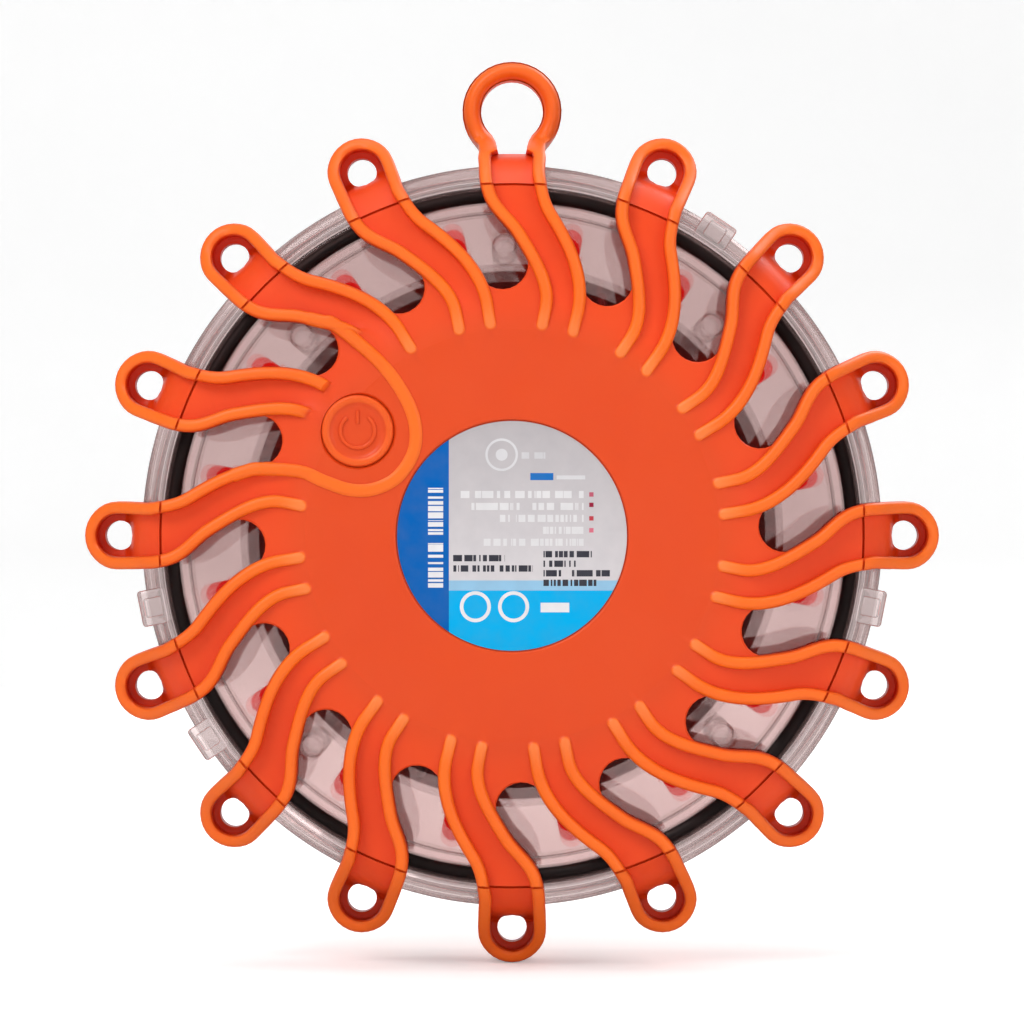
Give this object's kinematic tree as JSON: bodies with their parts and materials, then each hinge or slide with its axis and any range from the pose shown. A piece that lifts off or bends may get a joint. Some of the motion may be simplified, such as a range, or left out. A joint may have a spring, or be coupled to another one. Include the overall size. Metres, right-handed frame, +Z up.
{
  "type": "led safety flare",
  "caption": "Round clear road flare lamp with swirling soft orange arms on both faces, radial red LEDs, hang hook, magnet back and push button.",
  "frame": {"origin": "centre of the magnet's outer face, on the lamp's axis", "axes": "+Z up towards the hang hook, +Y out of the magnet's face (the back), -Y out of the button side (the front), +X right seen from the front"},
  "size_m": [0.11, 0.0351, 0.1161],
  "materials": {
    "orange_soft": "smooth satin overmould",
    "clear_plastic": "clear polished plastic",
    "red_lens": "clear red epoxy",
    "black_rubber": "smooth",
    "white_plastic": "satin",
    "black_plastic": "satin",
    "holder_plastic": "satin",
    "ceramic_black": "satin",
    "zinc_steel": "blue-white zinc plate",
    "brass": "turned",
    "nickel": "nickel plate",
    "tinned_wire": "tinned",
    "can_aluminium": "satin",
    "label": "printed film with a blue strip and a cyan band",
    "board": "dark green solder mask",
    "cell_wrap": "printed sleeve",
    "red_wire": "insulation",
    "black_wire": "insulation"
  },
  "bodies": {
    "housing": {"housing": "clear_plastic", "rear_grip": "orange_soft", "magnet": "nickel", "screw_seals": "black_rubber", "main_board": "board", "led_lenses": "red_lens", "led_leads": "tinned_wire", "switch_body": "black_plastic", "controller_chip": "black_plastic", "smd_resistors": "ceramic_black", "driver_transistors": "black_plastic", "capacitor": "can_aluminium", "board_screws": "zinc_steel", "battery_holder": "holder_plastic", "battery_cells": "cell_wrap", "contact_plates": "nickel", "contact_springs": "nickel", "battery_wire_red": "red_wire", "battery_wire_black": "black_wire"},
    "cover": {"front_cover": "clear_plastic", "front_grip": "orange_soft", "label_disc": "label", "screw_inserts": "brass", "cover_seal": "black_rubber"},
    "button": {"power_button": "orange_soft", "button_plunger": "white_plastic"},
    "switch_stem": {"switch_stem": "white_plastic"},
    "screw_left": {"cover_screw_left": "zinc_steel"},
    "screw_right": {"cover_screw_right": "zinc_steel"}
  },
  "joints": [
    {"name": "cover_lift", "type": "slide", "parent": "housing", "child": "cover", "axis": [0, -1, 0], "range_m": [0, 0.03]},
    {"name": "button_press", "type": "slide", "parent": "cover", "child": "button", "axis": [0, 1, 0], "range_m": [0, 0.0004]},
    {"name": "switch_press", "type": "slide", "parent": "housing", "child": "switch_stem", "axis": [0, 1, 0], "range_m": [0, 0.0004]},
    {"name": "screw_left_out", "type": "slide", "parent": "housing", "child": "screw_left", "axis": [0, 1, 0], "range_m": [0, 0.0245]},
    {"name": "screw_right_out", "type": "slide", "parent": "housing", "child": "screw_right", "axis": [0, 1, 0], "range_m": [0, 0.0245]}
  ],
  "couplings": [
    {"joint": "switch_press", "follows": "button_press", "ratio": 1}
  ]
}
